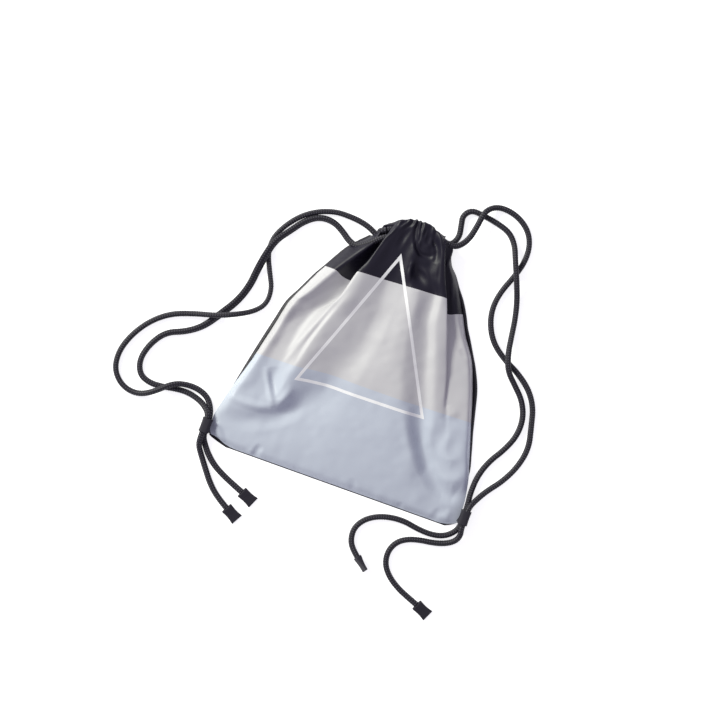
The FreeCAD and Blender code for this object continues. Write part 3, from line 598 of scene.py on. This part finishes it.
def read_spline(points):
    """Points along the NURBS curve through those control points, in metres."""
    curve = bpy.data.curves.new("route", "CURVE")
    curve.dimensions = "3D"
    curve.resolution_u = 24
    spline = curve.splines.new("NURBS")
    spline.points.add(len(points) - 1)
    for item, place in zip(spline.points, points):
        item.co = (*place, 1)
    spline.order_u = 3
    spline.use_endpoint_u = True
    holder = bpy.data.objects.new("route", curve)
    bpy.context.scene.collection.objects.link(holder)
    bpy.context.view_layer.update()
    graph = bpy.context.evaluated_depsgraph_get()
    mesh = bpy.data.meshes.new_from_object(holder.evaluated_get(graph))
    read = np.array([v.co for v in mesh.vertices], float)
    bpy.data.objects.remove(holder)
    bpy.data.curves.remove(curve)
    bpy.data.meshes.remove(mesh)
    return read


def evenly(path, step):
    """The path again, at even steps along its length."""
    path = path[np.concatenate([[True], np.linalg.norm(np.diff(path, axis=0), axis=1) > 1e-7])]
    run = np.concatenate([[0], np.cumsum(np.linalg.norm(np.diff(path, axis=0), axis=1))])
    at = np.linspace(0, run[-1], max(8, int(run[-1] / step)))
    return np.stack([np.interp(at, run, path[:, k]) for k in range(3)], -1), at


def path_frames(path):
    """Two directions across the path at each point, carried along it without twist."""
    tangent = np.gradient(path, axis=0)
    tangent /= np.linalg.norm(tangent, axis=1)[:, None]
    side = np.cross(tangent[0], (0, 0, 1.0))
    side /= np.linalg.norm(side)
    sides = [side]
    for direction in tangent[1:]:
        side = sides[-1] - direction * (sides[-1] @ direction)
        sides.append(side / np.linalg.norm(side))
    sides = np.array(sides)
    return sides, np.cross(tangent, sides)


def braid(name, path, diameter, material, flat=(), step=0.42, around=32):
    """A soft braid along the path: two families of strands that pass over and under each other.
    flat lists how far along it lies flattened: share of its length, and its width over its diameter."""
    path, run = evenly(path, step * MM)
    side, up = path_frames(path)
    turn = np.linspace(0, 2 * math.pi, around, endpoint=False)
    s, t = np.meshgrid(run / MM, turn, indexing="ij")
    k = BRAID_AROUND / (2 * math.pi)
    a = s / (2 * BRAID_PITCH) + t * k
    b = s / (2 * BRAID_PITCH) - t * k
    over = (np.floor(a) + np.floor(b)) % 2 == 0
    fa, fb = a % 1 - 0.5, b % 1 - 0.5
    first = np.sqrt(np.maximum(0, 1 - (1.85 * fa) ** 2)) * (0.72 + 0.28 * np.cos(fb * math.pi))
    second = np.sqrt(np.maximum(0, 1 - (1.85 * fb) ** 2)) * (0.72 + 0.28 * np.cos(fa * math.pi))
    bump = np.where(over, first, second)
    radius = diameter / 2 * (0.95 + 0.2 * bump) * MM
    # Painted shade and light for the colour: 1 on the tops of the strands that pass over, 0.22 on the strands
    # that pass under for light from one side, and near 0 in the gaps, where shade falls.
    painted_braid_light = (np.cos(fa * math.pi) * np.cos(fb * math.pi)) ** 1.2 * np.where(over, 1.0, 0.22)
    wide = np.ones(len(run))
    if flat:
        shares, widths = np.array(flat, float).T
        wide = smooth_between(shares, widths, run / run[-1])
    # a slight unevenness along it
    wide = wide + 0.03 * np.sin(run / 0.021) * np.sin(run / 0.033)
    points = (
        path[:, None]
        + side[:, None] * (radius * np.cos(t) * wide[:, None])[..., None]
        + up[:, None] * (radius * np.sin(t) / wide[:, None])[..., None]
    )
    points[..., 2] = np.maximum(points[..., 2], 0)  # the braid lies on the ground and not in it
    shape = points.shape[:2]
    faces = grid_faces(*shape, closed=True)
    close_ends(faces, shape[0], around)
    item = mesh_object(name, points.reshape(-1, 3), faces, material)
    # The painted shade and light value, with the place along and around the cord.
    painted_light_and_place = np.stack([painted_braid_light.ravel(), s.ravel(), t.ravel()], -1)
    store(item, "braid", painted_light_and_place)
    return item, path


def braid_material():
    """Braided polyester in the cord's grey where the strands stand up, with painted shade: near black in the
    gaps, and darker on the strands that pass under, a painted shade for the side turned from the light.
    """
    nodes = Nodes("braided_cord")
    parts = nodes.add("SeparateXYZ")
    nodes.feed(parts.inputs[0], nodes.attribute("braid").outputs["Vector"])
    # Painted shade: near black in the gaps and on the under strands, the cord's grey on the lit strand tops.
    colour = nodes.mix(parts.outputs[0], linear(14, 12, 19), CORD)
    return nodes.finish(colour, 0.6, sheen=0.0, specular=0.35)


def channel_place(side, offset_side, height):
    """Where a cord leaves the mouth's channel, and the way that it faces there."""
    angle = math.radians(MOUTH_FROM + (MOUTH_SWEEP if side < 0 else 0.0))
    place = on_mouth(MOUTH_RADIUS + offset_side * CORD_OFFSET, np.array(angle), height)
    facing = np.array([math.sin(angle), -math.cos(angle), 0]) * side
    return place, facing


BACK_Z, FRONT_Z = 5.25, 21.0  # the height of the cords in the back hem and in the front hem

# Each cord from the mouth through its loop: the side (-1 is left), its height at the mouth, how far out
# from there its second control point lies, and the control points after that.
STRANDS = {
    "left_strand_back": (-1, BACK_Z, 6, (
        (-50.5, 141, 4.2), (-61, 146.5, 3.6), (-74, 150, LOW), (-90, 151.3, LOW),
        (-107, 151, LOW), (-128, 144, LOW), (-147, 131, LOW), (-162, 112, LOW),
        (-171, 92, LOW), (-169, 72, LOW), (-159, 51, LOW), (-150, 33, LOW),
        (-150, 13, LOW), (-162, -1, 5), (-181, -12, OVER), (-204, -21.5, OVER),
        (-230, -28, 4.5), (-258, -38, LOW), (-280, -56, LOW), (-296, -80, LOW),
        (-304, -105, LOW), (-301, -128, LOW), (-285, -144, LOW), (-264, -147, 4.5),
        (-246, -138, OVER), (-226, -119, OVER), (-209, -114.5, 5), (-192, -115.5, LOW),
        (-178, -122.5, LOW), (-169.3, -138, 4.8), (-168.95, -151, 4.8),
    )),
    "left_strand_front": (-1, FRONT_Z, 7, (
        (-55, 126.5, 15.5), (-67, 118.6, 9.5), (-79, 121.5, 5), (-92, 131.3, LOW), (-106, 138.5, LOW),
        (-124, 138, LOW), (-140, 127, LOW), (-153, 109, 4.5), (-166, 91, OVER),
        (-171, 71, OVER), (-175, 50, 4.5), (-177, 29, LOW), (-185, 5, LOW),
        (-200, -18, LOW), (-214, -39, LOW), (-233, -53, LOW), (-256, -62, LOW),
        (-270, -82, LOW), (-276, -105, LOW), (-269, -123, LOW), (-254, -128.5, LOW),
        (-237, -127.5, LOW), (-221, -124.5, LOW), (-207, -123.5, LOW), (-194, -126, LOW),
        (-182.5, -130.5, 5.2), (-171.4, -139.5, 11.3), (-170.95, -151.5, 11.3),
    )),
    "right_strand_back": (1, BACK_Z, 5, (
        (43.5, 162, 4.4), (48.5, 173.5, 3.4), (46, 187, LOW), (43.5, 200, LOW),
        (52, 210, LOW), (68, 208.5, LOW), (86, 205.5, LOW), (105, 200, LOW),
        (117, 187, 4.5), (124, 168, OVER), (134, 145, OVER), (143, 123, 4.5),
        (148.5, 101, LOW), (151.5, 79, 4.5), (154, 58, OVER), (161, 36, OVER),
        (177, 21, 4.5), (191, 7, LOW), (200, -13, LOW), (200, -36, LOW),
        (191, -58, LOW), (178, -78, LOW), (170.5, -100, LOW), (169.2, -122, LOW),
        (170.9, -138, 4.8), (171.05, -151, 4.8),
    )),
    "right_strand_front": (1, FRONT_Z, 6, (
        (48.5, 158.5, 17), (60, 171.5, 13), (65, 193, OVER), (67.5, 214, OVER),
        (80, 224.5, 4.5), (97, 225, LOW), (114, 219, LOW), (128, 207.5, LOW),
        (135.5, 191, LOW), (136, 171, LOW), (130, 150, LOW), (121, 128, LOW),
        (117, 106, LOW), (121, 84, LOW), (133, 63, LOW), (153, 48, LOW),
        (174, 38, LOW), (194, 23, LOW), (207, 4, LOW), (213, -20, LOW),
        (219, -46, LOW), (214, -72, LOW), (202, -96, LOW), (188, -113.5, LOW),
        (179.5, -127.5, 5.6), (173.3, -139.5, 11.3), (172.95, -151.5, 11.3),
    )),
}

# The control points of each tail, from its loop to its tab.
TAILS = {
    "left_tail_inner": (
        (-169, -168, 4.8), (-163, -178, 3.8), (-154.5, -188.5, LOW),
        (-143, -198.5, LOW), (-129, -206, LOW), (-114, -212.5, LOW), (-100, -218, 4.3),
    ),
    "left_tail_outer": (
        (-171, -168, 11.3), (-170.7, -180, 8.5), (-162.5, -192.5, 3.8),
        (-152.5, -206, LOW), (-141, -221, LOW), (-127, -234, LOW), (-111.3, -243.1, 4.3),
    ),
    "right_tail_inner": (
        (171, -168, 4.8), (165, -178, 3.6), (154.5, -185.5, LOW), (140, -188.5, LOW),
        (122, -187.5, LOW), (104, -184, LOW), (86, -185, LOW), (69, -190, LOW),
        (55, -199.5, LOW), (47, -213, LOW), (48, -228, LOW), (54.5, -238.5, 4.5),
        (63, -245.5, 6.3),
    ),
    "right_tail_outer": (
        (173, -168, 11.3), (175, -178, 8.6), (170.5, -187, 5.2), (160, -193.5, 3.6),
        (146, -197.5, LOW), (130, -199.5, LOW), (114, -204, LOW), (102, -213, LOW),
        (96.5, -227, LOW), (99, -243, LOW), (109.5, -256, LOW), (125, -266, LOW),
        (141, -272.5, LOW), (152.8, -277, 4.3),
    ),
}

# Each visible cord: its strand, its tail, the tail's body, its length in metres, and where it lies
# flattened, as braid() takes it.
CORDS = {
    "left_cord_back": (
        "left_strand_back", "left_tail_inner", "left_end_inner", 0.748,
        ((0, 1), (0.2, 0.92), (0.3, 0.88), (0.45, 0.95), (0.7, 1), (1, 1.05)),
    ),
    "left_cord_front": (
        "left_strand_front", "left_tail_outer", "left_end_outer", 0.649,
        ((0, 1), (0.1, 1.1), (0.22, 1.15), (0.3, 1.4), (0.42, 1.38), (0.48, 1.2), (0.6, 1.02), (1, 1.05)),
    ),
    "right_cord_back": (
        "right_strand_back", "right_tail_inner", "right_end_inner", 0.698, (),
    ),
    "right_cord_front": (
        "right_strand_front", "right_tail_outer", "right_end_outer", 0.766, (),
    ),
}

# End tabs: heading, roll and pitch in degrees.
TABS = {
    "left_tail_inner": (-24.0, 0.0, 6.5),
    "left_tail_outer": (-29.0, 0.0, 6.5),
    "right_tail_inner": (-40.0, 68.0, -7.0),
    "right_tail_outer": (-25.0, 0.0, 6.5),
}


def make_tab(tail, material):
    """A strip of cloth folded over the cord's end and sewn flat: a tube at the cord and two layers beyond."""
    heading, roll, pitch = (math.radians(v) for v in TABS[tail])
    length, around, along = 20.0, 48, 40
    rows = []
    for share in np.linspace(0, 1, along):
        width = 15.4 + 1.0 * share - 2.0 * math.sin(share * math.pi)
        thick = 5.8 * (1 - share) ** 1.3 + 2.6
        if share < 0.04:
            width, thick = width - 0.8, thick - 0.8
        t = np.linspace(0, 2 * math.pi, around, endpoint=False)
        power = 0.55 - 0.3 * share
        y = squarish(np.cos(t), power) * width / 2
        z = squarish(np.sin(t), power) * thick / 2
        pinch = 0.35 * math.sin(share * math.pi * 3)
        rows.append(np.stack([np.full(around, share * length), y, z * (1 + 0.05 * pinch)], -1))
    points = np.array(rows).reshape(-1, 3)
    faces = grid_faces(along, around, closed=True)
    close_ends(faces, along, around)
    item = mesh_object(tail.replace("tail", "tab"), points * MM, faces, material)
    store(item, "rest", points[:, :2])
    turned = (
        Matrix.Rotation(heading, 4, "Z") @ Matrix.Rotation(pitch, 4, "Y") @ Matrix.Rotation(roll, 4, "X")
    )
    item.data.transform(Matrix.Translation(Vector(mm(TAILS[tail][-1]))) @ turned)
    return item


BOX_FACES = ((0, 1, 3, 2), (4, 6, 7, 5), (0, 4, 5, 1), (2, 3, 7, 6), (0, 2, 6, 4), (1, 5, 7, 3))


def with_box(points, faces, low, high):
    """The points with a box's corners after them. The box's faces are added to faces."""
    ends = (high, low)
    corners = [[ends[k >> axis & 1][axis] for axis in range(3)] for k in range(8)]
    faces += [tuple(len(points) + k for k in quad) for quad in BOX_FACES]
    return np.concatenate([points, corners])


def make_loop(name, x, side, material):
    """A ribbon folded round both cords. Its two ends are sewn to the bag's side seam."""
    top, length, thickness = -145.4, 18.0, 0.9
    around, along = 72, 26
    t = np.linspace(0, 2 * math.pi, around, endpoint=False)
    half_width, half_tall = 6.5, 8.3
    outer, inner = [], []
    for share in np.linspace(0, 1, along):
        sag = 1 - 0.05 * math.sin(share * math.pi)
        y = np.full(around, top - share * length) + 0.25 * np.cos(t * 2)
        for rows, inset in ((outer, 0), (inner, thickness)):
            across = squarish(np.cos(t), 0.62) * (half_width * sag - inset)
            up = squarish(np.sin(t), 0.62) * (half_tall * sag - inset) + half_tall
            rows.append(np.stack([x + across, y, up], -1))
    points = np.array(outer + inner[::-1]).reshape(-1, 3)
    faces = grid_faces(2 * along, around, closed=True)
    last = (2 * along - 1) * around
    for i in range(around):
        j = (i + 1) % around
        faces.append((last + i, last + j, j, i))
    # the sewn end, from the ribbon to the seam, and the dense stitches across it
    near, far = sorted((x + side * (half_width - 0.6), x + side * (half_width + 2.6)))
    points = with_box(points, faces, (near, top - length + 1, 1.2), (far, top - 1, 3.4))
    middle = x + side * (half_width + 0.4)
    for row in range(10):
        y = top - 2.2 - row * 1.5
        low, high = (middle - 0.9, y - 0.5, 3.3), (middle + 0.9, y + 0.5, 3.9)
        points = with_box(points, faces, low, high)
    item = mesh_object(name, points * MM, faces, material)
    store(item, "rest", points[:, :2])
    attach(item, "back")
    return item


# ---------------------------------------------------------------- build

front_colours = make_front()
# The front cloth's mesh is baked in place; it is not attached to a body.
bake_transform(front_colours)
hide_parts("front_panel", "front_channel")

back_cloth_look = cloth_material("back_cloth", BACK, 0.5)
back_cloth = make_back(back_cloth_look)
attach(back_cloth, "back")
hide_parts("back_panel", "left_side_seam", "right_side_seam", "bottom_seam")

back_hem = make_channel("back_hem", back_cloth_look, height=BACK_Z, tall=9.2, width=24, seed=1)
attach(back_hem, "back")
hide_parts("back_channel")

cord_look = braid_material()
ribbon_look = cloth_material("ribbon", RIBBON, 0.75, pitch=1.1)

for name, (strand, tail, body, length, flat) in CORDS.items():
    side, height, lead, route = STRANDS[strand]
    place, facing = channel_place(side, side, height)
    points = [place, place + facing * lead, *route, *TAILS[tail]]
    path = read_spline(mm(points))
    cord, line = braid(name, path, CORD_DIAMETER, cord_look, flat)
    tab = make_tab(tail, ribbon_look)
    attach(tab, body)
    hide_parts(tail.replace("tail", "end_tab"))
    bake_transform(cord)
    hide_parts(strand, tail)

first, last = MOUTH_FROM + RUN_INSET, MOUTH_FROM + MOUTH_SWEEP - RUN_INSET
run_angles = np.radians(np.linspace(first, last, 60))

for cord_side, cord_label in ((-1, "left"), (1, "right")):
    reach = MOUTH_RADIUS + cord_side * CORD_OFFSET
    for height, layer, body in ((BACK_Z, "back", "back"), (FRONT_Z, "front", "front")):
        ring = on_mouth(reach, run_angles, height)
        run, _ = braid(f"{cord_label}_cord_in_{layer}_hem", ring * MM, CORD_DIAMETER, cord_look)
        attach(run, body)
        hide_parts(f"{cord_label}_cord_{layer}_run")
    end, facing = channel_place(-cord_side, cord_side, (BACK_Z + FRONT_Z) / 2)
    half = (FRONT_Z - BACK_Z) / 2
    turn = np.linspace(0, math.pi, 40)[:, None]
    bend = end + facing * half * np.sin(turn) - np.array([0, 0, half]) * np.cos(turn)
    turned, _ = braid(f"{cord_label}_cord_turn", bend * MM, CORD_DIAMETER, cord_look)
    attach(turned, "back")
    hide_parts(f"{cord_label}_cord_return")

left_loop = make_loop("left_loop", x=-170, side=1, material=ribbon_look)
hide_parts("left_corner_loop", "left_bar_tack")
right_loop = make_loop("right_loop", x=172, side=-1, material=ribbon_look)
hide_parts("right_corner_loop", "right_bar_tack")

# ---------------------------------------------------------------- stage


def area_light(name, place, target, size, power, colour=(1, 1, 1)):
    data = bpy.data.lights.new(name, "AREA")
    data.shape = "SQUARE"
    data.size = size
    data.energy = power
    data.color = colour
    item = bpy.data.objects.new(name, data)
    item.location = place
    item.rotation_euler = (Vector(target) - Vector(place)).to_track_quat("-Z", "Y").to_euler()
    bpy.context.scene.collection.objects.link(item)
    return item


floor_nodes = Nodes("floor")
floor_nodes.shader.inputs["Emission Color"].default_value = (1, 1, 1, 1)
floor_nodes.shader.inputs["Emission Strength"].default_value = 0.75
floor_look = floor_nodes.finish((0.8, 0.8, 0.8, 1), 0.9, specular=0.0)
floor = mesh_object("floor", [(-6, -6, 0), (6, -6, 0), (6, 6, 0), (-6, 6, 0)], [(0, 1, 2, 3)], floor_look)

world = bpy.data.worlds.new("studio")
world.use_nodes = True
world.node_tree.nodes["Background"].inputs["Color"].default_value = (0.98, 0.935, 1.12, 1)
world.node_tree.nodes["Background"].inputs["Strength"].default_value = 0.37
bpy.context.scene.world = world

area_light(
    "key",
    place=(-2.6, 0.95, 1.75),
    target=(0, 0, 0),
    size=1.0,
    power=108,
    colour=(0.98, 1.0, 0.88),
)

camera_data = bpy.data.cameras.new("camera")
camera_data.sensor_width = 36
camera_data.lens = 100
camera = bpy.data.objects.new("camera", camera_data)
camera.location = (-0.0165, -0.0132, 2.5)
camera.rotation_euler = (0, 0, math.radians(19.7))
bpy.context.scene.collection.objects.link(camera)
bpy.context.scene.camera = camera
bpy.context.scene.view_settings.view_transform = "Standard"
